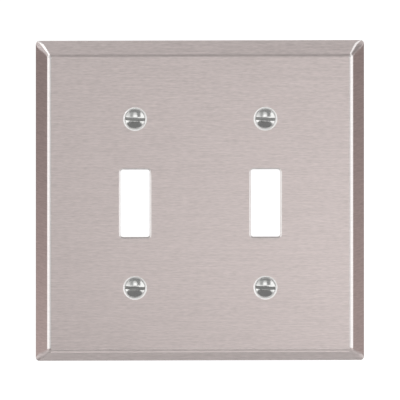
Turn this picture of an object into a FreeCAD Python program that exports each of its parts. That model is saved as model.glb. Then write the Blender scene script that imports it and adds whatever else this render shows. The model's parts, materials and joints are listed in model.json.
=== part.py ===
import FreeCAD, Part
import math
import os
import Sketcher

# Two-gang toggle wall plate of brushed stainless steel sheet, with the four slotted oval-head
# screws that fasten it to two toggle switches.
# Frame: the plate stands upright, +Z up. The wall plane is y = 0 and the face looks along -Y.
# The origin is the centre of the back, in the wall plane. Lengths are in millimetres.

SIZES = {
    "PlateWidth": 115.9,
    "PlateHeight": 114.3,
    "PlateDepth": 7.0,  # wall plane to face
    "SheetGauge": 0.81,
    "BorderSpan": 4.4,  # seen from the front, rim to bend
    "BorderBend": 1.8,  # outer radius where the face turns into a border
    "RimCorner": 1.3,
    "FaceCorner": 2.6,
    "GangSpacing": 46.04,  # between the two switches
    "ScrewSpacing": 60.325,  # between the two screws of one switch
    "OpeningWidth": 10.3,
    "OpeningHeight": 24.0,
    "OpeningCorner": 0.9,
    "OpeningLand": 0.16,  # straight wall left behind the opening's rounded front edge
    "SeatAngle": 82.0,  # degrees, included angle of the seats and of the screw heads
    "SeatMargin": 0.325,  # how far the seat's cone runs past the head, all round
    "SeatShoulder": 1.0,  # rounding of the seat's mouth
    "SeatThroatLength": 0.5,
    "SeatClearance": 0.05,  # between a screw's head and its seat
    "ThroatClearance": 0.35,  # all round the thread, in the hole that it passes
    "HeadDiameter": 6.95,
    "HeadLand": 0.15,  # straight edge round the head
    "HeadDome": 1.1,
    "SlotWidth": 1.05,
    "SlotDepth": 1.4,
    "SlotTilt": 3.5,  # degrees, clockwise from level, at rest
    "ThreadDiameter": 3.505,
    "ThreadPitch": 0.794,
    "ThreadAngle": 60.0,  # degrees between the flanks
    "NeckLength": 0.5,  # plain shank between the head and the thread
    "TipChamfer": 0.4,
    "ScrewLength": 12.7,  # edge of the head to the tip
}

# Expressions on the sheet that more than one feature uses.

# The borders: the sheet's thickness measured level, and the inside of the plate.
BORDER_SLOPE = "atan(Sizes.PlateDepth / Sizes.BorderSpan)"
GAUGE_ACROSS_BORDER = f"(Sizes.SheetGauge / sin({BORDER_SLOPE}))"
INNER_DEPTH = "(Sizes.PlateDepth - Sizes.SheetGauge)"
INNER_INSET = f"(Sizes.BorderSpan * {INNER_DEPTH} / Sizes.PlateDepth + {GAUGE_ACROSS_BORDER})"
# The pressed corners are a little thicker than the sheet, so the inner ones are this much tighter.
CORNER_STEP = f"({GAUGE_ACROSS_BORDER} / 2)"
CORNER_GROWTH = "(Sizes.FaceCorner - Sizes.RimCorner)"

# The seats, whose mouth and throat follow the screw's head and thread.
HALF_ANGLE = "(Sizes.SeatAngle / 2)"
MOUTH_RADIUS = "(Sizes.HeadDiameter / 2 + Sizes.SeatMargin)"
THROAT_RADIUS = "(Sizes.ThreadDiameter / 2 + Sizes.ThroatClearance)"
SEAT_DEPTH = f"(({MOUTH_RADIUS} - {THROAT_RADIUS}) / tan({HALF_ANGLE}))"
DIMPLE_DEPTH = f"({SEAT_DEPTH} + Sizes.SeatThroatLength)"
GAUGE_ACROSS_SEAT = f"(Sizes.SheetGauge / cos({HALF_ANGLE}))"

# The screws. The thread has a unified form: flats of an eighth of the pitch on its crest and of
# a quarter at its root. The neck is as thick as the thread is at its pitch line.
CREST_FLAT = "(Sizes.ThreadPitch / 8)"
ROOT_FLAT = "(Sizes.ThreadPitch / 4)"
FLANK = "tan(Sizes.ThreadAngle / 2)"
THREAD_DEPTH = f"((Sizes.ThreadPitch - {CREST_FLAT} - {ROOT_FLAT}) / 2 / {FLANK})"
CREST_RADIUS = "(Sizes.ThreadDiameter / 2)"
NECK_RADIUS = f"({CREST_RADIUS} - (Sizes.ThreadPitch / 2 - {CREST_FLAT}) / 2 / {FLANK})"
HEAD_RADIUS = "(Sizes.HeadDiameter / 2)"
HEAD_CONE = f"(({HEAD_RADIUS} - {NECK_RADIUS}) / tan({HALF_ANGLE}))"
HEAD_TOP = "(Sizes.HeadDome + Sizes.HeadLand)"
HEAD_SINK = f"((Sizes.SeatMargin - Sizes.SeatClearance / cos({HALF_ANGLE})) / tan({HALF_ANGLE}))"

EDGE_MATCH = 1e-4  # how near an edge lies to where it is looked for


def make_sheet(doc):
    sheet = doc.addObject("Spreadsheet::Sheet", "Sizes")
    for row, (alias, value) in enumerate(SIZES.items(), start=1):
        sheet.set(f"A{row}", alias)
        sheet.set(f"B{row}", str(value))
        sheet.setAlias(f"B{row}", alias)
    doc.recompute()


def origin_feature(body, role):
    return next(item for item in body.Origin.OriginFeatures if item.Role == role)


def new_body(doc, label):
    body = doc.addObject("PartDesign::Body", label)
    body.Label = label
    return body


def new_sketch(body, name, plane, **offset):
    """A sketch on one of the body's own origin planes, moved by expressions for x, y and z."""
    sketch = body.newObject("Sketcher::SketchObject", name)
    sketch.AttachmentSupport = [(origin_feature(body, plane), "")]
    sketch.MapMode = "FlatFace"
    for axis, expression in offset.items():
        sketch.setExpression(f"AttachmentOffset.Base.{axis}", expression)
    return sketch


def size(doc, expression):
    """The present value of an expression on the sheet."""
    value = doc.getObject("Sizes").evalExpression(expression)
    return float(getattr(value, "Value", value))


def size_constraint(sketch, name, expression, *definition):
    """A dimension of the sketch that follows an expression on the sheet."""
    index = sketch.addConstraint(Sketcher.Constraint(*definition))
    sketch.renameConstraint(index, name)
    sketch.setExpression(f"Constraints.{name}", expression)


def draw_rounded_rectangle(sketch, width, height, corner):
    """A rectangle with rounded corners, centred on the sketch's origin."""
    half_x, half_y, radius = (
        size(sketch.Document, expression)
        for expression in (f"({width}) / 2", f"({height}) / 2", corner)
    )
    corners = []
    for side_x, side_y, start in ((1, 1, 0), (-1, 1, 90), (-1, -1, 180), (1, -1, 270)):
        centre = FreeCAD.Vector(side_x * (half_x - radius), side_y * (half_y - radius), 0)
        circle = Part.Circle(centre, FreeCAD.Vector(0, 0, 1), radius)
        arc = Part.ArcOfCircle(circle, math.radians(start), math.radians(start + 90))
        corners.append(sketch.addGeometry(arc))
    sides = []
    for here, after in zip(corners, corners[1:] + corners[:1]):
        ends = (sketch.Geometry[here].EndPoint, sketch.Geometry[after].StartPoint)
        sides.append(sketch.addGeometry(Part.LineSegment(*ends)))
    for here, side, after in zip(corners, sides, corners[1:] + corners[:1]):
        sketch.addConstraint(Sketcher.Constraint("Tangent", here, 2, side, 1))
        sketch.addConstraint(Sketcher.Constraint("Tangent", side, 2, after, 1))
    for other in corners[1:]:
        sketch.addConstraint(Sketcher.Constraint("Equal", corners[0], other))
    top, left, bottom, right = sides
    for side in (top, bottom):
        sketch.addConstraint(Sketcher.Constraint("Horizontal", side))
    for side in (left, right):
        sketch.addConstraint(Sketcher.Constraint("Vertical", side))
    sketch.addConstraint(Sketcher.Constraint("Symmetric", corners[0], 3, corners[2], 3, -1, 1))
    size_constraint(sketch, "Corner", corner, "Radius", corners[0], radius)
    size_constraint(sketch, "Width", width, "DistanceX", left, 1, right, 1, 2 * half_x)
    size_constraint(sketch, "Height", height, "DistanceY", bottom, 1, top, 1, 2 * half_y)


def draw_profile(sketch, points, domed=False):
    """A closed outline; each point is two expressions, x and y.

    The sides are straight, except that the first is an arc centred on the y axis if domed.
    """
    places = [[size(sketch.Document, expression) for expression in point] for point in points]
    corners = [FreeCAD.Vector(x, y, 0) for x, y in places]
    sides = []
    for here, after in zip(corners, corners[1:] + corners[:1]):
        side = Part.LineSegment(here, after)
        if domed and not sides:
            side = dome_arc(here, after)
        sides.append(sketch.addGeometry(side))
    for here, after in zip(sides, sides[1:] + sides[:1]):
        sketch.addConstraint(Sketcher.Constraint("Coincident", here, 2, after, 1))
    if domed:
        sketch.addConstraint(Sketcher.Constraint("PointOnObject", sides[0], 3, -2))
    for side, point, place in zip(sides, points, places):
        for axis, expression, value in zip("XY", point, place):
            size_constraint(
                sketch, f"{axis}{side}", expression, f"Distance{axis}", -1, 1, side, 1, value
            )


def dome_arc(apex, edge):
    """The arc from a dome's apex, on the y axis, round to its edge."""
    rise = edge.y - apex.y
    radius = (edge.x**2 + rise**2) / (2 * rise)
    centre = FreeCAD.Vector(0, apex.y + radius, 0)
    circle = Part.Circle(centre, FreeCAD.Vector(0, 0, 1), radius)
    return Part.ArcOfCircle(circle, -math.pi / 2, math.asin(edge.x / radius) - math.pi / 2)


def new_feature(body, kind, name, **properties):
    feature = body.newObject(f"PartDesign::{kind}", name)
    for key, value in properties.items():
        setattr(feature, key, value)
    return feature


def fillet_edges(body, name, base, radius, chosen):
    """Rounds those edges of the feature base for which chosen(edge) is true."""
    body.Document.recompute()
    edges = [f"Edge{i}" for i, edge in enumerate(base.Shape.Edges, start=1) if chosen(edge)]
    fillet = new_feature(body, "Fillet", name, Base=(base, edges))
    fillet.setExpression("Radius", radius)
    return fillet


def lies_at(edge, y):
    """True for an edge that lies wholly in the plane y."""
    box = edge.BoundBox
    return abs(box.YMin - y) < EDGE_MATCH and abs(box.YMax - y) < EDGE_MATCH


def is_circle(edge, radius):
    curve = edge.Curve
    return isinstance(curve, Part.Circle) and abs(curve.Radius - radius) < EDGE_MATCH


def tray(body, name, kind, depth, inset, corners):
    """A loft from the wall plane forward to depth; inset gives how far each end stands in."""
    ends = []
    for end, forward, step_in, corner in zip(("Rim", "Face"), ("0", depth), inset, corners):
        sketch = new_sketch(body, name + end, "XZ_Plane", z=forward)
        draw_rounded_rectangle(
            sketch,
            f"Sizes.PlateWidth - 2 * {step_in}",
            f"Sizes.PlateHeight - 2 * {step_in}",
            corner,
        )
        ends.append(sketch)
    return new_feature(body, kind, name, Profile=ends[0], Sections=[ends[1]], Ruled=True)


def pattern(body, name, originals, *steps):
    """Repeats features along the body's axes; a step is a role, a spacing and a count."""
    grid = new_feature(body, "MultiTransform", name, Originals=originals)
    rows = []
    for role, spacing, count in steps:
        row = new_feature(
            body, "LinearPattern", name + role[0],
            Direction=(origin_feature(body, role), [""]), Occurrences=count,
        )
        row.setExpression("Length", spacing)
        rows.append(row)
    grid.Transformations = rows
    body.Tip = grid
    return grid


def make_plate(doc):
    body = new_body(doc, "wall_plate")
    face = -size(doc, "Sizes.PlateDepth")
    back = -size(doc, INNER_DEPTH)

    outside = tray(
        body, "Outside", "AdditiveLoft", "Sizes.PlateDepth",
        ("0", "Sizes.BorderSpan"), ("Sizes.RimCorner", "Sizes.FaceCorner"),
    )
    fillet_edges(body, "BorderBends", outside, "Sizes.BorderBend", lambda e: lies_at(e, face))
    inside = tray(
        body, "Inside", "SubtractiveLoft", INNER_DEPTH,
        (GAUGE_ACROSS_BORDER, INNER_INSET),
        (
            f"Sizes.RimCorner - {CORNER_STEP}",
            f"Sizes.RimCorner + {CORNER_GROWTH} * {INNER_DEPTH} / Sizes.PlateDepth"
            f" - {CORNER_STEP}",
        ),
    )
    fillet_edges(
        body, "InnerBends", inside, "Sizes.BorderBend - Sizes.SheetGauge",
        lambda e: lies_at(e, back),
    )
    make_openings(body)
    make_seats(body)
    round_openings_and_seats(body, face)
    return body


def make_openings(body):
    """The two openings that the switch levers pass through."""
    outline = new_sketch(
        body, "OpeningOutline", "XZ_Plane", x="-Sizes.GangSpacing / 2", z="Sizes.PlateDepth"
    )
    draw_rounded_rectangle(
        outline, "Sizes.OpeningWidth", "Sizes.OpeningHeight", "Sizes.OpeningCorner"
    )
    opening = new_feature(body, "Pocket", "Opening", Profile=outline, Type="ThroughAll")
    pattern(body, "Openings", [opening], ("X_Axis", "Sizes.GangSpacing", 2))


def make_seats(body):
    """The four dimples that seat the screw heads, one made and patterned to the other three."""
    corner = {"x": "-Sizes.GangSpacing / 2", "z": "-Sizes.ScrewSpacing / 2"}
    dimple_outline = new_sketch(body, "DimpleOutline", "XY_Plane", **corner)
    mid_sheet = "Sizes.SheetGauge / 2"
    draw_profile(dimple_outline, [
        ("0", f"{mid_sheet} - Sizes.PlateDepth"),
        (back_of_seat(mid_sheet), f"{mid_sheet} - Sizes.PlateDepth"),
        (back_of_seat(DIMPLE_DEPTH), f"{DIMPLE_DEPTH} - Sizes.PlateDepth"),
        ("0", f"{DIMPLE_DEPTH} - Sizes.PlateDepth"),
    ])
    seat_outline = new_sketch(body, "SeatOutline", "XY_Plane", **corner)
    draw_profile(seat_outline, [
        ("0", "-Sizes.PlateDepth"),
        (MOUTH_RADIUS, "-Sizes.PlateDepth"),
        (THROAT_RADIUS, f"{SEAT_DEPTH} - Sizes.PlateDepth"),
        (THROAT_RADIUS, "0"),
        ("0", "0"),
    ])
    dimple = new_feature(
        body, "Revolution", "Dimple", Profile=dimple_outline,
        ReferenceAxis=(dimple_outline, ["V_Axis"]), Angle=360.0,
    )
    seat = new_feature(
        body, "Groove", "Seat", Profile=seat_outline,
        ReferenceAxis=(seat_outline, ["V_Axis"]), Angle=360.0,
    )
    pattern(
        body, "Seats", [dimple, seat],
        ("X_Axis", "Sizes.GangSpacing", 2), ("Z_Axis", "Sizes.ScrewSpacing", 2),
    )


def back_of_seat(depth):
    """The dimple's outer radius at a depth behind the face."""
    return f"{MOUTH_RADIUS} + {GAUGE_ACROSS_SEAT} - {depth} * tan({HALF_ANGLE})"


def round_openings_and_seats(body, face):
    """Rounds the front edges of the openings and of the seats."""
    doc = body.Document
    border = size(doc, "Sizes.BorderSpan + Sizes.BorderBend")
    reach = size(doc, "Sizes.PlateWidth / 2") - border
    mouth = size(doc, MOUTH_RADIUS)

    def is_mouth(edge):
        return lies_at(edge, face) and is_circle(edge, mouth)

    def is_opening(edge):
        inboard = edge.BoundBox.XMin > -reach and edge.BoundBox.XMax < reach
        return lies_at(edge, face) and inboard and not is_circle(edge, mouth)

    mouths = fillet_edges(body, "SeatShoulders", body.Tip, "Sizes.SeatShoulder", is_mouth)
    fillet_edges(
        body, "OpeningLips", mouths, "Sizes.SheetGauge - Sizes.OpeningLand", is_opening
    )


def make_screw(doc, label, side, level):
    """A slotted oval-head screw with its axis along +Y, seated in one of the four holes.

    It is built with the edge of its head at y = 0. side and level are -1 or 1, for left or
    right and for lower or upper.
    """
    body = new_body(doc, label)
    thread_start = f"({HEAD_CONE} + Sizes.NeckLength)"

    outline = new_sketch(body, label + "_outline", "XY_Plane")
    draw_profile(outline, [
        ("0", f"-{HEAD_TOP}"),
        (HEAD_RADIUS, "-Sizes.HeadLand"),
        (HEAD_RADIUS, "0"),
        (NECK_RADIUS, HEAD_CONE),
        (NECK_RADIUS, thread_start),
        (CREST_RADIUS, f"{thread_start} + {CREST_RADIUS} - {NECK_RADIUS}"),
        (CREST_RADIUS, "Sizes.ScrewLength - Sizes.TipChamfer"),
        (f"{CREST_RADIUS} - Sizes.TipChamfer", "Sizes.ScrewLength"),
        ("0", "Sizes.ScrewLength"),
    ], domed=True)
    new_feature(
        body, "Revolution", label + "_blank", Profile=outline,
        ReferenceAxis=(outline, ["V_Axis"]), Angle=360.0,
    )

    slot_outline = new_sketch(body, label + "_slot_outline", "YZ_Plane")
    slot_floor = f"Sizes.SlotDepth - {HEAD_TOP}"
    slot_front = f"-2 * {HEAD_TOP}"
    draw_profile(slot_outline, [
        (slot_front, "-Sizes.SlotWidth / 2"),
        (slot_floor, "-Sizes.SlotWidth / 2"),
        (slot_floor, "Sizes.SlotWidth / 2"),
        (slot_front, "Sizes.SlotWidth / 2"),
    ])
    new_feature(
        body, "Pocket", label + "_slot", Profile=slot_outline, Type="ThroughAll",
        SideType="Symmetric",
    )

    # The thread's groove is drawn a little past the crest, so that it cuts right through it.
    overcut = f"({CREST_FLAT} / 2)"
    root = f"{CREST_RADIUS} - {THREAD_DEPTH}"
    root_half = f"({ROOT_FLAT} / 2)"
    outer = f"{CREST_RADIUS} + {overcut}"
    outer_half = f"({root_half} + {FLANK} * ({THREAD_DEPTH} + {overcut}))"
    first_turn = f"({thread_start} + Sizes.ThreadPitch / 2)"
    groove = new_sketch(body, label + "_groove", "XY_Plane")
    draw_profile(groove, [
        (root, f"{first_turn} - {root_half}"),
        (outer, f"{first_turn} - {outer_half}"),
        (outer, f"{first_turn} + {outer_half}"),
        (root, f"{first_turn} + {root_half}"),
    ])
    thread = new_feature(
        body, "SubtractiveHelix", label + "_thread", Profile=groove,
        ReferenceAxis=(groove, ["V_Axis"]), Mode="pitch-height-angle", HasBeenEdited=True,
    )
    thread.setExpression("Pitch", "Sizes.ThreadPitch")
    thread.setExpression("Height", f"Sizes.ScrewLength - {first_turn} + Sizes.ThreadPitch")

    body.Placement.Rotation = FreeCAD.Rotation(FreeCAD.Vector(0, 1, 0), 1)
    body.setExpression("Placement.Rotation.Angle", "Sizes.SlotTilt")
    body.setExpression("Placement.Base.x", f"{side} * Sizes.GangSpacing / 2")
    body.setExpression("Placement.Base.y", f"{HEAD_SINK} - Sizes.PlateDepth")
    body.setExpression("Placement.Base.z", f"{level} * Sizes.ScrewSpacing / 2")
    return body


SCREWS = {
    "screw_upper_left": (-1, 1),
    "screw_upper_right": (1, 1),
    "screw_lower_left": (-1, -1),
    "screw_lower_right": (1, -1),
}


def check(doc, bodies):
    """Stops if a feature failed or a piece is not one valid solid."""
    for item in doc.Objects:
        if "Invalid" in item.State or "Error" in item.State:
            raise RuntimeError(f"{item.Label} failed: {item.State}")
    for body in bodies:
        shape = body.Shape
        if shape.isNull() or not shape.isValid() or len(shape.Solids) != 1:
            raise RuntimeError(f"{body.Label} is not one valid solid")


def main():
    doc = FreeCAD.newDocument("wall_plate_two_gang")
    make_sheet(doc)
    bodies = [make_plate(doc)]
    bodies += [make_screw(doc, label, *place) for label, place in SCREWS.items()]
    doc.recompute()
    check(doc, bodies)
    os.makedirs("parts", exist_ok=True)
    for body in bodies:
        body.Shape.exportStep(f"parts/{body.Label}.step")
        print(f"{body.Label}: {body.Shape.Volume:.1f} mm3")


main()
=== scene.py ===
import json
import math
import bpy
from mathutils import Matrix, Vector


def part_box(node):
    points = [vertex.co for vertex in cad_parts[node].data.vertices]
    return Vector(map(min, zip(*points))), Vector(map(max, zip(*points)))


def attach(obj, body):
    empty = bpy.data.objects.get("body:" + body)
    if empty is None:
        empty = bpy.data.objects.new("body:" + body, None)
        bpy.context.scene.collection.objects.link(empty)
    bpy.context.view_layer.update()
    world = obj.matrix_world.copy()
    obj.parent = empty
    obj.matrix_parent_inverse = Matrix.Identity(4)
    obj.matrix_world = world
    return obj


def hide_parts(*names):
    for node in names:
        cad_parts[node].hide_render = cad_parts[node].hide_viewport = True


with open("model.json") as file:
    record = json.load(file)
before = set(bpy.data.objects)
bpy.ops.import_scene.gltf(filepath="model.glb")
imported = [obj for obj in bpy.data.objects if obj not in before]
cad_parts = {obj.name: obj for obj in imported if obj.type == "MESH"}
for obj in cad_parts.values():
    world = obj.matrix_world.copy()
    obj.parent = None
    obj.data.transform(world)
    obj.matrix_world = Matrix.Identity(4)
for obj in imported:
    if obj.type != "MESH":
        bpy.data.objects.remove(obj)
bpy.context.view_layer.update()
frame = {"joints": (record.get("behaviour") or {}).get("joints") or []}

# A two-gang toggle wall plate of brushed stainless steel and its four oval-head screws.
# The plate hangs upright: +Z is up, the wall plane is y = 0 and the face looks along -Y.
# Each piece is modelled in millimetres and brought to the frame's metres when it is finished.
MM = 0.001
SLACK = 1e-3             # two places as close as this are the same, in millimetres

# Sizes of the plate, from the frame and from the sheet that it is pressed from.
PLATE_LOW, PLATE_HIGH = (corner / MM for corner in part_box("wall_plate"))
WIDTH = PLATE_HIGH.x - PLATE_LOW.x
HEIGHT = PLATE_HIGH.z - PLATE_LOW.z
DEPTH = -PLATE_LOW.y
GAUGE = 0.81
BORDER_SPAN = 4.4        # seen from the front, rim to bend
BORDER_BEND = 1.8        # outer radius where the face turns into a border
# The bends' painted light and shade reach this far behind the face.
BEND_DEPTH = BORDER_BEND / 2    # how far behind the face a bend's finish reaches
RIM_CORNER = 1.3
FACE_CORNER = 1.1
CORNER_LEVELS = (        # how round the borders' corners are: part of the depth, radius
    (0.72, 1.5), (0.45, 2.0), (0.22, 2.3), (0.08, 1.85), (0, RIM_CORNER),
)
OPENING_WIDTH = 10.3
OPENING_HEIGHT = 24.0
OPENING_CORNER = 0.9
OPENING_LIP = 0.65       # rounded edge left by the punch
CELL_WIDTH, CELL_HEIGHT = 16, 14    # the part of the face that a dimple is cut in

# Sizes of the screws and of the dimples that seat them.
SCREW_AXES = {joint["child"]: [place / MM for place in joint["pos_m"]] for joint in frame["joints"]}
GANG_OFFSET = max(axis[0] for axis in SCREW_AXES.values())
SCREW_OFFSET = max(axis[2] for axis in SCREW_AXES.values())
HEAD_RADIUS = 3.475
HALF_ANGLE = math.radians(41)    # of the heads' and the seats' cones
SEAT_MARGIN = 0.325      # how far a seat's cone runs past the head, all round
SEAT_CLEARANCE = 0.05    # between a head and its seat
MOUTH_RADIUS = HEAD_RADIUS + SEAT_MARGIN
THROAT_RADIUS = 2.1025
THROAT_LENGTH = 0.5
SHOULDER = 1.0           # rounding of a seat's mouth
SEAT_BACK_ROUNDING = 0.35
SEAT_DEPTH = (MOUTH_RADIUS - THROAT_RADIUS) / math.tan(HALF_ANGLE)
DIMPLE_DEPTH = SEAT_DEPTH + THROAT_LENGTH
HEAD_SINK = SEAT_MARGIN / math.tan(HALF_ANGLE) - SEAT_CLEARANCE / math.sin(HALF_ANGLE)
HEAD_LAND = 0.15         # straight edge round the head
HEAD_EDGE_ROUNDING = 0.04
HEAD_DOME = 1.1
HEAD_TOP = HEAD_LAND + HEAD_DOME
SLOT_WIDTH = 1.05
SLOT_DEPTH = 1.4
SLOT_EDGE_ROUNDING = 0.05
SLOT_TILT = math.radians(3.5)
SLOT_FLOOR = HEAD_SINK - DEPTH + SLOT_DEPTH - HEAD_TOP    # in the seated screw
CREST_RADIUS = 1.7525
FLANK = math.radians(30)
PITCH = 0.794
NECK_LENGTH = 0.5
TIP_CHAMFER = 0.4
SCREW_LENGTH = 12.7


# Modelling helpers

def only(piece):
    """Leaves edit mode and makes the piece the one that operators act on."""
    if bpy.context.mode != "OBJECT":
        bpy.ops.object.mode_set(mode="OBJECT")
    bpy.ops.object.select_all(action="DESELECT")
    piece.select_set(True)
    bpy.context.view_layer.objects.active = piece


def clear_choice(piece, kind):
    """Sets what edit mode selects, with nothing selected, and leaves edit mode."""
    only(piece)
    bpy.ops.object.mode_set(mode="EDIT")
    bpy.ops.mesh.select_mode(type=kind)
    bpy.ops.mesh.select_all(action="DESELECT")
    bpy.ops.object.mode_set(mode="OBJECT")


def choose_edges(piece, test):
    """Selects in edit mode the edges whose two ends pass the test."""
    clear_choice(piece, "EDGE")
    points = piece.data.vertices
    for edge in piece.data.edges:
        edge.select = test(*(points[end].co for end in edge.vertices))
    bpy.ops.object.mode_set(mode="EDIT")


def choose_faces(piece, test):
    """Selects in edit mode the faces whose centre and normal pass the test."""
    clear_choice(piece, "FACE")
    for face in piece.data.polygons:
        face.select = test(face.center, face.normal)
    bpy.ops.object.mode_set(mode="EDIT")


def at_both_ends(test):
    """A test for an edge, from a test that each of its ends has to pass."""
    return lambda *ends: all(test(end) for end in ends)


def all_of(piece):
    only(piece)
    bpy.ops.object.mode_set(mode="EDIT")
    bpy.ops.mesh.select_all(action="SELECT")


def done_editing():
    bpy.ops.object.mode_set(mode="OBJECT")


def near(value, target, slack=SLACK):
    return abs(value - target) < slack


def from_seat_axis(place):
    """How far a place lies from the axis of the nearest seat."""
    return math.hypot(abs(place.x) - GANG_OFFSET, abs(place.z) - SCREW_OFFSET)


def rounded_sheet(name, width, height, corner, y, segments=8):
    """A flat rectangle across the Y axis with rounded corners."""
    bpy.ops.object.select_all(action="DESELECT")
    bpy.ops.mesh.primitive_plane_add(size=1, location=(0, y, 0), rotation=(math.pi / 2, 0, 0))
    sheet = bpy.context.object
    sheet.name = name
    sheet.scale = (width, height, 1)
    bpy.ops.object.transform_apply(location=True, rotation=True, scale=True)
    all_of(sheet)
    bpy.ops.mesh.bevel(offset=corner, segments=segments, affect="VERTICES")
    done_editing()
    return sheet


def joined(*pieces):
    bpy.ops.object.select_all(action="DESELECT")
    for piece in pieces:
        piece.select_set(True)
    bpy.context.view_layer.objects.active = pieces[0]
    bpy.ops.object.join()
    return pieces[0]


def apply_modifier(piece, kind, **settings):
    only(piece)
    modifier = piece.modifiers.new(kind.title(), kind)
    for key, value in settings.items():
        setattr(modifier, key, value)
    bpy.ops.object.modifier_apply(modifier=modifier.name)


def carve(piece, tool, operation="DIFFERENCE"):
    """Cuts the tool out of the piece, or adds it with UNION, and throws the tool away."""
    apply_modifier(piece, "BOOLEAN", object=tool, operation=operation, solver="MANIFOLD")
    bpy.data.objects.remove(tool)


def plate_tray(overrun=1.0):
    """The pressed sheet before it is punched: face, bends and borders, open at the back.

    The borders run on past the wall plane, where they are cut later.
    """
    tray = rounded_sheet(
        "plate", WIDTH - 2 * BORDER_SPAN, HEIGHT - 2 * BORDER_SPAN, FACE_CORNER, -DEPTH
    )
    above = -DEPTH
    for rise, corner in (*CORNER_LEVELS, (-overrun / DEPTH, RIM_CORNER)):
        spread, y = BORDER_SPAN * rise, -DEPTH * rise
        loop = rounded_sheet("border", WIDTH - 2 * spread, HEIGHT - 2 * spread, corner, y)
        all_of(loop)
        bpy.ops.mesh.delete(type="ONLY_FACE")
        done_editing()
        tray = joined(tray, loop)
        choose_edges(tray, lambda a, b: near(a.y, b.y) and (near(a.y, y) or near(a.y, above)))
        bpy.ops.mesh.bridge_edge_loops()
        done_editing()
        above = y
    all_of(tray)
    bpy.ops.mesh.normals_make_consistent(inside=False)
    border_angle = math.atan2(DEPTH, BORDER_SPAN)
    choose_edges(tray, at_both_ends(lambda place: near(place.y, -DEPTH)))
    bpy.ops.mesh.bevel(
        offset=BORDER_BEND * math.tan(border_angle / 2), segments=12, affect="EDGES",
        clamp_overlap=False,
    )
    done_editing()
    return tray


def trim_at_wall(tray):
    """Cuts the borders off level with the wall and closes the rim between their two walls."""
    all_of(tray)
    bpy.ops.mesh.bisect(
        plane_co=(0, 0, 0), plane_no=(0, 1, 0), clear_outer=True, threshold=1e-5
    )
    choose_edges(tray, at_both_ends(lambda place: near(place.y, 0)))
    bpy.ops.mesh.bridge_edge_loops()
    done_editing()


def score_face(tray):
    """Divides the face into a cell for each opening and dimple, so that each cut stays in its own."""
    cuts = [((1, 0, 0), GANG_OFFSET, CELL_WIDTH / 2), ((0, 0, 1), SCREW_OFFSET, CELL_HEIGHT / 2)]
    for normal, offset, half_cell in cuts:
        for place in (-offset - half_cell, -offset + half_cell, offset - half_cell, offset + half_cell):
            all_of(tray)
            bpy.ops.mesh.bisect(
                plane_co=[place * part for part in normal], plane_no=normal, threshold=1e-5
            )
    done_editing()


def punch_openings(tray):
    """Punches the two toggle openings and rounds their front edges."""
    for side in (-1, 1):
        bpy.ops.object.select_all(action="DESELECT")
        bpy.ops.mesh.primitive_cube_add(
            size=1, location=(side * GANG_OFFSET, -DEPTH, 0),
            scale=(OPENING_WIDTH, 4 * GAUGE, OPENING_HEIGHT),
        )
        punch = bpy.context.object
        bpy.ops.object.transform_apply(location=True, rotation=True, scale=True)
        choose_edges(punch, lambda a, b: near(a.x, b.x) and near(a.z, b.z))
        bpy.ops.mesh.bevel(offset=OPENING_CORNER, segments=6, affect="EDGES")
        done_editing()
        carve(tray, punch)

    def round_an_opening(place):
        across = abs(abs(place.x) - GANG_OFFSET) - OPENING_WIDTH / 2
        return near(place.y, -DEPTH) and across < 0.01 and abs(place.z) < OPENING_HEIGHT / 2 + 0.01

    choose_edges(tray, at_both_ends(round_an_opening))
    bpy.ops.mesh.bevel(offset=OPENING_LIP, segments=6, affect="EDGES", clamp_overlap=False)
    done_editing()


def lathe(name, stations, steps=64):
    """A turned solid about the Y axis; each station is a radius and a place along the axis."""
    bpy.ops.object.select_all(action="DESELECT")
    radius, place = stations[0]
    bpy.ops.mesh.primitive_circle_add(
        vertices=steps, radius=radius, fill_type="NGON", location=(0, place, 0),
        rotation=(math.pi / 2, 0, 0),
    )
    turned = bpy.context.object
    turned.name = name
    bpy.ops.object.transform_apply(location=True, rotation=True, scale=True)
    all_of(turned)
    for (radius, place), (next_radius, next_place) in zip(stations, stations[1:]):
        bpy.ops.mesh.extrude_region_move(
            TRANSFORM_OT_translate={"value": (0, next_place - place, 0)}
        )
        growth = next_radius / radius
        bpy.ops.transform.resize(value=(growth, 1, growth))
    bpy.ops.mesh.select_all(action="SELECT")
    bpy.ops.mesh.normals_make_consistent(inside=False)
    done_editing()
    return turned


def at_each_seat(tool):
    """Copies a tool made on the origin's axis to the four seats, as one object."""
    copies = []
    for x, _, z in SCREW_AXES.values():
        only(tool)
        bpy.ops.object.duplicate()
        copy = bpy.context.object
        copy.location = (x, 0, z)
        bpy.ops.object.transform_apply(location=True, rotation=True, scale=True)
        copies.append(copy)
    bpy.data.objects.remove(tool)
    return joined(*copies)


def back_of_seat(depth):
    """The dimple's outer radius at a depth behind the face."""
    return MOUTH_RADIUS + GAUGE / math.cos(HALF_ANGLE) - depth * math.tan(HALF_ANGLE)


def round_a_seat(level, radius):
    """A test for the edges that run round the seats at one level and radius."""
    return at_both_ends(lambda place: near(place.y, level) and near(from_seat_axis(place), radius, 0.02))


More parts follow.
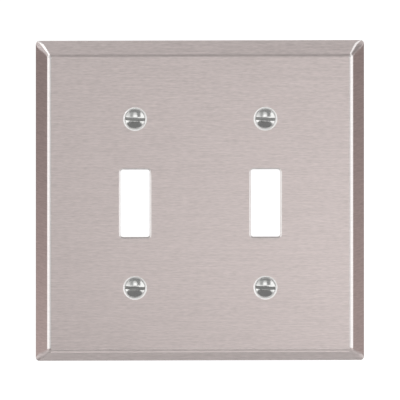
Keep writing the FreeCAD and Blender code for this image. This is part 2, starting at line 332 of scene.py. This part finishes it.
def press_seats(tray):
    """Presses the four dimples that seat the screw heads and rounds their mouths."""
    mid_sheet = GAUGE / 2
    dimple = lathe("dimple", [
        (back_of_seat(mid_sheet), mid_sheet - DEPTH),
        (back_of_seat(DIMPLE_DEPTH), DIMPLE_DEPTH - DEPTH),
    ])
    carve(tray, at_each_seat(dimple), "UNION")
    above_face = 1.0
    seat = lathe("seat", [
        (MOUTH_RADIUS + above_face * math.tan(HALF_ANGLE), -DEPTH - above_face),
        (THROAT_RADIUS, SEAT_DEPTH - DEPTH),
        (THROAT_RADIUS, DIMPLE_DEPTH - DEPTH + above_face),
    ])
    carve(tray, at_each_seat(seat))
    turn = math.pi / 2 - HALF_ANGLE
    choose_edges(tray, round_a_seat(-DEPTH, MOUTH_RADIUS))
    bpy.ops.mesh.bevel(
        offset=SHOULDER * math.tan(turn / 2), segments=8, affect="EDGES", clamp_overlap=False
    )
    done_editing()
    choose_edges(tray, round_a_seat(GAUGE - DEPTH, back_of_seat(GAUGE)))
    bpy.ops.mesh.bevel(offset=SEAT_BACK_ROUNDING, segments=4, affect="EDGES", clamp_overlap=False)
    done_editing()


def settle(piece, smooth_angle=30):
    """Finishes a piece: shading, then its place in the mesh in the frame's metres."""
    only(piece)
    piece.scale = (MM, MM, MM)
    bpy.ops.object.transform_apply(location=True, rotation=True, scale=True)
    bpy.ops.object.shade_smooth_by_angle(angle=math.radians(smooth_angle))
    apply_modifier(piece, "WEIGHTED_NORMAL", keep_sharp=True, weight=100)


def brushed_plate():
    """The finished plate: pressed, given its gauge, trimmed, punched and dimpled."""
    tray = plate_tray()
    apply_modifier(
        tray, "SOLIDIFY", thickness=GAUGE, offset=-1, use_even_offset=True, use_quality_normals=True
    )
    trim_at_wall(tray)
    score_face(tray)
    punch_openings(tray)
    press_seats(tray)
    settle(tray)
    tray.name = "brushed_plate"
    return tray


def dome_stations(steps=8):
    """The oval head's dome, from beside its middle out to its land."""
    sphere = (HEAD_RADIUS ** 2 + HEAD_DOME ** 2) / 2 / HEAD_DOME
    sweep = math.asin(HEAD_RADIUS / sphere)
    for step in range(1, steps + 1):
        angle = sweep * step / steps
        yield sphere * math.sin(angle), sphere * (1 - math.cos(angle)) - HEAD_TOP


def screw_blank():
    """The screw before it is slotted and threaded, with the edge of its head at y = 0."""
    thread_depth = (PITCH - PITCH / 8 - PITCH / 4) / 2 / math.tan(FLANK)
    neck = CREST_RADIUS - (PITCH / 2 - PITCH / 8) / 2 / math.tan(FLANK)
    head_cone = (HEAD_RADIUS - neck) / math.tan(HALF_ANGLE)
    thread_start = head_cone + NECK_LENGTH
    blank = lathe("oval_head_screw", [
        *dome_stations(),
        (HEAD_RADIUS, 0),
        (neck, head_cone),
        (neck, thread_start),
        (CREST_RADIUS, thread_start + CREST_RADIUS - neck),
        (CREST_RADIUS, SCREW_LENGTH - TIP_CHAMFER),
        (CREST_RADIUS - TIP_CHAMFER, SCREW_LENGTH),
    ])

    def on_land(place):
        return near(math.hypot(place.x, place.z), HEAD_RADIUS) and -HEAD_LAND - 0.01 < place.y < 0.01

    choose_edges(blank, at_both_ends(on_land))
    bpy.ops.mesh.bevel(offset=HEAD_EDGE_ROUNDING, segments=2, affect="EDGES")
    done_editing()
    return blank, thread_start, thread_depth


def cut_slot(screw):
    """Saws the slot across the head and softens its edges."""
    bpy.ops.object.select_all(action="DESELECT")
    bottom = SLOT_DEPTH - HEAD_TOP
    front = -2 * HEAD_TOP
    bpy.ops.mesh.primitive_cube_add(
        size=1, location=(0, (bottom + front) / 2, 0), scale=(4 * HEAD_RADIUS, bottom - front, SLOT_WIDTH)
    )
    cutter = bpy.context.object
    bpy.ops.object.transform_apply(location=True, rotation=True, scale=True)
    carve(screw, cutter)
    choose_edges(screw, at_both_ends(
        lambda place: near(abs(place.z), SLOT_WIDTH / 2) and place.y < -HEAD_LAND
    ))
    bpy.ops.mesh.bevel(offset=SLOT_EDGE_ROUNDING, segments=2, affect="EDGES", clamp_overlap=False)
    done_editing()


def cut_thread(screw, thread_start, depth):
    """Winds a groove of the thread's form along the shank and cuts it out."""
    past_crest = PITCH / 16
    root = CREST_RADIUS - depth
    root_half = PITCH / 8
    outer_half = root_half + math.tan(FLANK) * (depth + past_crest)
    middle = thread_start + PITCH / 2
    bpy.ops.object.select_all(action="DESELECT")
    bpy.ops.mesh.primitive_plane_add(size=1, location=(0, 0, 0))
    groove = bpy.context.object
    bpy.ops.object.mode_set(mode="EDIT")
    bpy.ops.mesh.delete(type="ONLY_FACE")
    bpy.ops.object.mode_set(mode="OBJECT")
    for vertex in groove.data.vertices:
        outside = vertex.co.x > 0
        half = outer_half if outside else root_half
        along = middle + half if vertex.co.y > 0 else middle - half
        vertex.co = (CREST_RADIUS + past_crest if outside else root, along, 0)
    turns = math.ceil((SCREW_LENGTH - middle) / PITCH + 1)
    apply_modifier(
        groove, "SCREW", axis="Y", angle=math.tau, screw_offset=PITCH, iterations=turns,
        steps=48, render_steps=48, use_merge_vertices=True,
    )
    all_of(groove)
    bpy.ops.mesh.fill_holes(sides=0)
    bpy.ops.mesh.select_all(action="SELECT")
    bpy.ops.mesh.normals_make_consistent(inside=False)
    done_editing()
    carve(screw, groove)


def oval_head_screws():
    """One screw is modelled on the Y axis, then copied and seated at each dimple."""
    pattern, thread_start, thread_depth = screw_blank()
    cut_thread(pattern, thread_start, thread_depth)
    cut_slot(pattern)
    screws = {}
    for body, (x, _, z) in SCREW_AXES.items():
        only(pattern)
        bpy.ops.object.duplicate()
        screw = bpy.context.object
        screw.rotation_euler = (0, SLOT_TILT, 0)
        screw.location = (x, HEAD_SINK - DEPTH, z)
        bpy.ops.object.transform_apply(location=True, rotation=True, scale=True)
        settle(screw)
        screw.name = "oval_head_" + body
        screws[body] = screw
    bpy.data.objects.remove(pattern)
    return screws


plate = brushed_plate()
screws = oval_head_screws()
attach(plate, "plate")
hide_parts("wall_plate")
for body, screw in screws.items():
    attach(screw, body)
    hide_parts(body)


# Materials

def node(tree, kind, inputs=None, **settings):
    """Adds a shader node; each input is a value or the socket that feeds it."""
    made = tree.nodes.new(kind)
    for key, value in settings.items():
        setattr(made, key, value)
    for socket, value in (inputs or {}).items():
        if isinstance(value, bpy.types.NodeSocket):
            tree.links.new(value, made.inputs[socket])
        else:
            made.inputs[socket].default_value = value
    return made


def math_node(tree, operation, *values):
    return node(tree, "ShaderNodeMath", dict(enumerate(values)), operation=operation).outputs[0]


def new_material(name, **sockets):
    material = bpy.data.materials.new(name)
    material.use_nodes = True
    shader = material.node_tree.nodes["Principled BSDF"]
    for socket, value in sockets.items():
        shader.inputs[socket].default_value = value
    return material.node_tree, shader


def brushing_group():
    """Parallel scratches along X, the marks of a brushing belt: short ones over long ones."""
    group = bpy.data.node_groups.new("belt_brushing", "ShaderNodeTree")
    for name, kind in (("Position", "Vector"), ("Scratch Length", "Float"), ("Scratch Width", "Float")):
        group.interface.new_socket(name, in_out="INPUT", socket_type="NodeSocket" + kind)
    group.interface.new_socket("Scratches", in_out="OUTPUT", socket_type="NodeSocketFloat")
    inlet = node(group, "NodeGroupInput").outputs
    apart = node(group, "ShaderNodeSeparateXYZ", {0: inlet["Position"]}).outputs
    across = math_node(group, "DIVIDE", apart["Z"], inlet["Scratch Width"])
    layers = []
    long_scratch, share_of_long = 6, 0.38
    for stretch in (1, long_scratch):
        length = math_node(group, "MULTIPLY", inlet["Scratch Length"], stretch)
        along = math_node(group, "DIVIDE", apart["X"], length)
        depth = math_node(group, "DIVIDE", apart["Y"], length)
        place = node(group, "ShaderNodeCombineXYZ", {"X": along, "Y": depth, "Z": across}).outputs[0]
        layers.append(node(group, "ShaderNodeTexNoise", {
            "Vector": place, "Scale": 1.0, "Detail": 2.0, "Roughness": 0.5,
        }).outputs[0])
    both = node(group, "ShaderNodeMix", {
        "Factor": share_of_long, "A": layers[0], "B": layers[1],
    }).outputs[0]
    stray = scored_lines(group, apart, inlet)
    node(group, "NodeGroupOutput", {"Scratches": math_node(group, "ADD", both, stray)})
    return group


def scored_lines(group, apart, inlet):
    """A few deeper scratches, thin and far apart, some pale and some dark."""
    longer, thinner, contrast = 1.6, 0.6, 6.0
    length = math_node(group, "MULTIPLY", inlet["Scratch Length"], longer)
    width = math_node(group, "MULTIPLY", inlet["Scratch Width"], thinner)
    place = node(group, "ShaderNodeCombineXYZ", {
        "X": math_node(group, "DIVIDE", apart["X"], length),
        "Y": math_node(group, "DIVIDE", apart["Y"], length),
        "Z": math_node(group, "DIVIDE", apart["Z"], width),
    }).outputs[0]
    noise = node(group, "ShaderNodeTexNoise", {"Vector": place, "Scale": 1.0, "Detail": 0.0}).outputs[0]
    centred = math_node(group, "SUBTRACT", noise, 0.5)
    cubed = math_node(group, "POWER", math_node(group, "ABSOLUTE", centred), 3.0)
    sign = math_node(group, "SIGN", centred)
    return math_node(group, "MULTIPLY", math_node(group, "MULTIPLY", cubed, sign), contrast)


def scratches(tree, length, width):
    """The brushing group placed in a material, with the size of its scratches."""
    grain = node(tree, "ShaderNodeGroup", node_tree=BRUSHING)
    tree.links.new(node(tree, "ShaderNodeTexCoord").outputs["Object"], grain.inputs["Position"])
    grain.inputs["Scratch Length"].default_value = length
    grain.inputs["Scratch Width"].default_value = width
    return grain.outputs["Scratches"]


def spread_out(tree, grain, low, high):
    """Stretches the noise's middle range over low to high."""
    return node(tree, "ShaderNodeMapRange", {
        "Value": grain, "From Min": 0.3, "From Max": 0.7, "To Min": low, "To Max": high,
    }).outputs[0]


def metal(name, dark, pale, roughness, scratch, brushed=False, relief=0.0):
    """A bare metal finish, whose colour and roughness run from scratch to scratch.

    scratch is their length and width in millimetres, and relief the height of their bump.
    A brushed finish spreads reflections upright, across its scratches.
    """
    tree, shader = new_material(name, Metallic=1.0, IOR=1.5, Anisotropic=1.0 if brushed else 0.0)
    grain = scratches(tree, *(size * MM for size in scratch))
    colour = node(tree, "ShaderNodeMix", {
        "Factor": spread_out(tree, grain, 0.0, 1.0), "A": (*dark, 1), "B": (*pale, 1),
    }, data_type="RGBA")
    tree.links.new(colour.outputs["Result"], shader.inputs["Base Color"])
    tree.links.new(spread_out(tree, grain, *roughness), shader.inputs["Roughness"])
    if brushed:
        upright = node(tree, "ShaderNodeCombineXYZ", {"X": 0.0, "Y": 0.0, "Z": 1.0}).outputs[0]
        tree.links.new(upright, shader.inputs["Tangent"])
    if relief:
        bump = node(tree, "ShaderNodeBump", {"Height": grain, "Distance": relief * MM})
        tree.links.new(bump.outputs[0], shader.inputs["Normal"])


def clad(piece, name):
    """Gives the piece one finish all over."""
    piece.data.materials.clear()
    piece.data.materials.append(bpy.data.materials[name])


def finish_faces(piece, name, test):
    """Gives another finish to the faces whose centre, in millimetres, and normal pass the test."""
    piece.data.materials.append(bpy.data.materials[name])
    choose_faces(piece, lambda centre, normal: test(centre / MM, normal))
    piece.active_material_index = len(piece.data.materials) - 1
    bpy.ops.object.material_slot_assign()
    done_editing()


def in_seat(centre, normal):
    """A seat's rounded mouth, cone and throat."""
    in_reach = from_seat_axis(centre) < MOUTH_RADIUS + SHOULDER / 2
    return in_reach and centre.y > SLACK - DEPTH and normal.y < 0.1


def on_painted_highlight_mouth(centre, normal):
    """The outer part of a seat's shoulder, painted near white as a highlight."""
    past_mouth = from_seat_axis(centre) - MOUTH_RADIUS
    return in_seat(centre, normal) and -0.33 * SHOULDER < past_mouth < 0.34 * SHOULDER


# How far the faces that take a bend's painted light and shade are turned from the plate's face, in degrees.
BEND_TILTS = (8, 57)
UPPER_BEND_TILTS = (18, 57)
LOWER_CORNER_TILTS = (8, 38)
# The headings where a bend's painted light and shade start, in degrees: 0 is to the side, 90 up and -90
# down.
SIDEWAYS = -1
TOP = 80
LOWER_CORNERS = -40
STRAIGHT_DOWN = -89
# The upper corners' painted highlight runs between these headings.
PAINTED_HIGHLIGHT_HEADINGS = {"left": (55, 80), "right": (66, 90)}    # parts of the two upper corners


def between(value, limits):
    return limits[0] < value < limits[1]


def border_place(centre, normal):
    """A border face's turn from the face and its heading (0 to the side, 90 up), in degrees."""
    beside_face = max(abs(centre.x) - WIDTH / 2, abs(centre.z) - HEIGHT / 2) + BORDER_SPAN + BORDER_BEND
    if beside_face < 0:
        return 0, 0
    tilt = math.degrees(math.acos(max(-1, min(1, -normal.y))))
    return tilt, math.degrees(math.atan2(normal.z, abs(normal.x)))


def on_painted_highlight_edge(centre, normal):
    """The side bends and the ridges of the two upper corners, painted pale as a highlight."""
    tilt, heading = border_place(centre, normal)
    low, high = PAINTED_HIGHLIGHT_HEADINGS["left" if centre.x < 0 else "right"]
    on_bend = centre.y < BEND_DEPTH - DEPTH and SIDEWAYS < heading
    return between(tilt, BEND_TILTS) and heading < high and (on_bend or low < heading)


def on_painted_light_low_bend(centre, normal):
    """The lower bend, and the first of the turn in the two lower corners, painted paler as light."""
    tilt, heading = border_place(centre, normal)
    tilts = BEND_TILTS if heading < STRAIGHT_DOWN else LOWER_CORNER_TILTS
    return between(tilt, tilts) and heading < LOWER_CORNERS and centre.y < BEND_DEPTH - DEPTH


def on_painted_shade_top_bend(centre, normal):
    """The top bend, painted darker as a line of shade."""
    tilt, heading = border_place(centre, normal)
    return between(tilt, UPPER_BEND_TILTS) and heading > TOP and centre.y < BEND_DEPTH - DEPTH


def in_opening_edge(centre, normal):
    """The cut edge of an opening, all round, with its rounded lip."""
    across = abs(abs(centre.x) - GANG_OFFSET) - OPENING_WIDTH / 2
    upright = abs(centre.z) - OPENING_HEIGHT / 2
    return max(across, upright) < OPENING_LIP and centre.y > SLACK - DEPTH and normal.y < 0.1


def on_painted_light_opening_side(centre, normal):
    """The two sides and the head of an opening, painted brighter than the sill as light."""
    on_side = (normal.x > 0.2 or normal.x < -0.05) and abs(normal.x) > abs(normal.z)
    at_head = normal.z < -max(0.2, abs(normal.x))
    return in_opening_edge(centre, normal) and (on_side or at_head)


def in_slot(centre):
    """Whether a place lies between the slot's walls, which are turned with the screw."""
    side = 1 if centre.x > 0 else -1
    level = 1 if centre.z > 0 else -1
    x, z = centre.x - side * GANG_OFFSET, centre.z - level * SCREW_OFFSET
    from_middle = x * math.sin(SLOT_TILT) + z * math.cos(SLOT_TILT)
    return abs(from_middle) < SLOT_WIDTH / 2 + SLACK and centre.y < SLOT_FLOOR + SLACK


def on_slot_wall(centre, normal):
    """The slot's two long walls, which stand square to the face."""
    return in_slot(centre) and abs(normal.y) < 0.01


# The slot's floor, which takes a darker colour as painted shade.
def on_painted_shade_slot_base(centre, normal):
    return in_slot(centre) and centre.y > SLOT_FLOOR - SLACK and normal.y < -0.999


BRUSHING = brushing_group()
BELT = (2.2, 0.40)       # the belt's scratches: length and width
# Each finish: its dark and pale colours, its least and greatest roughness, and its scratches.
metal("brushed_stainless", (0.470, 0.414, 0.403), (0.620, 0.546, 0.533), (0.28, 0.32), BELT, True)
# A pale copy of the brushed steel paints a highlight on the side bends and upper corner ridges.
metal("rubbed_edge", (0.77, 0.735, 0.725), (0.89, 0.855, 0.845), (0.28, 0.32), BELT, True)
# A paler copy of the brushed steel paints light on the lower bend.
metal("lower_bend", (0.78, 0.692, 0.675), (0.90, 0.796, 0.776), (0.28, 0.32), BELT, True)
# A darker copy of the brushed steel paints a line of shade along the top bend.
metal("upper_bend", (0.44, 0.388, 0.378), (0.57, 0.502, 0.490), (0.28, 0.32), BELT, True)
# A near-white colour paints a highlight on the seats' shoulders.
metal("burnished_mouth", (0.93, 0.92, 0.91), (1.0, 0.99, 0.98), (0.55, 0.65), (0.6, 0.2))
metal("pressed_stainless", (0.56, 0.525, 0.515), (0.68, 0.635, 0.625), (0.30, 0.40), (1.0, 0.3))
metal("punched_edge", (0.46, 0.425, 0.415), (0.58, 0.535, 0.525), (0.40, 0.50), (0.5, 0.15))
# A paler colour paints light on the openings' sides and heads.
metal("sheared_side", (0.76, 0.73, 0.72), (0.84, 0.81, 0.80), (0.40, 0.50), (0.5, 0.15))
metal("mill_stainless", (0.45, 0.43, 0.41), (0.55, 0.53, 0.51), (0.36, 0.48), (12, 1.0), relief=0.006)
metal("nickel_plating", (0.63, 0.63, 0.618), (0.70, 0.70, 0.687), (0.16, 0.20), (0.8, 0.15))
metal("slot_walls", (0.57, 0.57, 0.56), (0.63, 0.63, 0.62), (0.35, 0.45), (0.5, 0.1))
# A darker colour paints shade on the slot's floor.
metal("slot_floor", (0.34, 0.34, 0.333), (0.41, 0.41, 0.402), (0.45, 0.55), (0.5, 0.1))
clad(plate, "brushed_stainless")
finish_faces(plate, "rubbed_edge", on_painted_highlight_edge)
finish_faces(plate, "lower_bend", on_painted_light_low_bend)
finish_faces(plate, "upper_bend", on_painted_shade_top_bend)
finish_faces(plate, "pressed_stainless", in_seat)
finish_faces(plate, "burnished_mouth", on_painted_highlight_mouth)
finish_faces(plate, "punched_edge", in_opening_edge)
finish_faces(plate, "sheared_side", on_painted_light_opening_side)
finish_faces(plate, "mill_stainless", lambda centre, normal: normal.y > 0.1)
for screw in screws.values():
    clad(screw, "nickel_plating")
    finish_faces(screw, "slot_walls", on_slot_wall)
    finish_faces(screw, "slot_floor", on_painted_shade_slot_base)


# Studio

WARM = (1, 0.87, 0.845)    # tint of the cards that shade the borders


def outward(azimuth, elevation, distance=1.0):
    """The way out from the plate; azimuth runs from straight in front towards the right."""
    turn, rise = math.radians(azimuth), math.radians(elevation)
    return Vector((
        distance * math.sin(turn) * math.cos(rise),
        -distance * math.cos(turn) * math.cos(rise),
        distance * math.sin(rise),
    ))


def bare_material(name):
    """A material whose node tree is still empty."""
    material = bpy.data.materials.new(name)
    material.use_nodes = True
    material.node_tree.nodes.clear()
    return material


def fading(axis, start, end, first=-0.5, last=0.5):
    """A light that runs evenly from start to end across a card.

    first and last are places on the card, which reaches from -0.5 to 0.5.
    """
    def build(tree):
        across = node(tree, "ShaderNodeSeparateXYZ", {
            0: node(tree, "ShaderNodeTexCoord").outputs["Object"],
        }).outputs[axis]
        return node(tree, "ShaderNodeMapRange", {
            "Value": across, "From Min": first, "From Max": last, "To Min": start, "To Max": end,
        }).outputs[0]
    return build


def card_face(name, light, colour, board):
    """What a card gives off: light is a number or a fading, and board is the card's own paint."""
    material = bare_material(name)
    tree = material.node_tree
    strength = light(tree) if callable(light) else light
    surface = node(tree, "ShaderNodeEmission", {"Color": (*colour, 1), "Strength": strength}).outputs[0]
    if board:
        paint = node(tree, "ShaderNodeBsdfDiffuse", {"Color": (board, board, board, 1)}).outputs[0]
        surface = node(tree, "ShaderNodeAddShader", {0: surface, 1: paint}).outputs[0]
    node(tree, "ShaderNodeOutputMaterial", {"Surface": surface})
    return material


def card(name, azimuth, elevation, distance, size, light, aim=(0, 0, 0), colour=(1, 1, 1), board=0.0):
    """A lit or dark card that faces the point aim and is hidden from the camera.

    size is its width and height in metres.
    """
    way = outward(azimuth, elevation, distance)
    bpy.ops.object.select_all(action="DESELECT")
    bpy.ops.mesh.primitive_plane_add(
        size=1, location=Vector(aim) + way, rotation=(-way).to_track_quat("Z", "Y").to_euler()
    )
    made = bpy.context.object
    made.name = name
    made.scale = (*size, 1)
    made.visible_camera = False
    made.data.materials.append(card_face(name + "_light", light, colour, board))
    return made


def floor():
    """A plain pale floor well below the plate, which hangs on a wall."""
    level, breadth = -1.2, 60
    bpy.ops.object.select_all(action="DESELECT")
    bpy.ops.mesh.primitive_plane_add(size=breadth, location=(0, 0, level))
    made = bpy.context.object
    made.name = "floor"
    material = bare_material("pale_floor")
    tree = material.node_tree
    path = node(tree, "ShaderNodeLightPath").outputs
    seen = math_node(tree, "MULTIPLY", path["Is Camera Ray"], 0.6)
    mirrored = math_node(tree, "MULTIPLY", path["Is Glossy Ray"], 0.2)
    paint = node(tree, "ShaderNodeBsdfDiffuse", {"Color": (0.85, 0.85, 0.85, 1)}).outputs[0]
    lift = math_node(tree, "ADD", seen, mirrored)
    glow = node(tree, "ShaderNodeEmission", {"Strength": lift}).outputs[0]
    both = node(tree, "ShaderNodeAddShader", {0: paint, 1: glow}).outputs[0]
    node(tree, "ShaderNodeOutputMaterial", {"Surface": both})
    made.data.materials.append(material)


def world_light():
    """Soft light from all round, white where the camera or bright metal looks at it."""
    fill, white = 0.6, 1.0
    world = bpy.data.worlds.new("studio")
    bpy.context.scene.world = world
    world.use_nodes = True
    tree = world.node_tree
    tree.nodes.clear()
    path = node(tree, "ShaderNodeLightPath").outputs
    seen = math_node(tree, "MAXIMUM", path["Is Camera Ray"], path["Is Glossy Ray"])
    seen = math_node(tree, "MAXIMUM", seen, path["Is Transmission Ray"])
    strength = node(tree, "ShaderNodeMapRange", {"Value": seen, "To Min": fill, "To Max": white}).outputs[0]
    light = node(tree, "ShaderNodeBackground", {"Color": (1, 1, 1, 1), "Strength": strength}).outputs[0]
    node(tree, "ShaderNodeOutputWorld", {"Surface": light})


def edge_lights(side, name, glint, glint_from, spill, spill_end):
    """Lights the white line along one side bend, shades its border and glints on its upper corner."""
    border = (side * 0.0555, -0.0035, 0)
    card(name + "_strip_light", side * 85.5, -12, 1.0, (0.52, 0.96), 1.4)
    shading = fading("Y", spill, 0.44, last=spill_end)
    card(name + "_flag", side * 125, 5, 0.155, (0.132, 0.27), shading, border, WARM)
    azimuth, elevation = glint_from
    card(name + "_corner_light", side * azimuth, elevation, 0.5, (0.20, 0.13), glint, upper_corner(side))


def upper_corner(side):
    """A point on an upper corner of the plate."""
    return side * 0.055, -0.003, 0.055


def front_lights():
    """The cards that the face, the lower bend and the screws' domes mirror."""
    card("left_softbox", -50, 0, 1.0, (0.86, 1.15), fading("Y", 1.9, 0.75))
    card("right_softbox", 45, -2, 1.0, (1.0, 1.25), 1.4)
    front_card = card(
        "front_card", 0, -18.2, 0.22, (0.22, 0.060), fading("X", 2.90, 0.86), board=0.35
    )
    # It would glare in the screws' domes, so it lights the plate alone and they see its grey board.
    lit_by_front_card = bpy.data.collections.new("lit_by_front_card")
    lit_by_front_card.objects.link(plate)
    front_card.light_linking.receiver_collection = lit_by_front_card
    card("front_strip", 0, 17, 0.5, (0.21, 0.14), 1.55)
    card("left_shade", -25, 25, 0.9, (0.33, 0.52), 0.50)
    card("right_shade", 26, 25, 0.9, (0.37, 0.52), 0.34)
    card("front_shade", 0, 56, 1.3, (2.1, 0.75), 0.33)
    card("low_flag", -8, -51, 0.8, (1.72, 1.0), 0.25)
    card("low_light", 0, -92, 0.9, (0.8, 0.30), 1.4)


def camera():
    """Looks at the plate from a little above and a touch to the left."""
    way = outward(-1.0, 8.7)
    distance, view_width = 0.5, 0.1412
    aim = Vector((0.00004, 0, 0.00014))
    bpy.ops.object.camera_add(
        location=way * distance + aim, rotation=way.to_track_quat("Z", "Y").to_euler()
    )
    made = bpy.context.object
    made.name = "camera"
    made.data.type = "ORTHO"
    made.data.ortho_scale = view_width
    bpy.context.scene.camera = made


floor()
edge_lights(-1, "left", glint=2.8, glint_from=(116, 62), spill=1.15, spill_end=-0.12)
edge_lights(1, "right", glint=1.8, glint_from=(124, 72), spill=0.75, spill_end=0.06)
card("right_corner_flag", 103, 39, 0.25, (0.125, 0.22), 0.12, upper_corner(1), WARM)
front_lights()
world_light()
camera()
bpy.context.scene.view_settings.view_transform = "Standard"
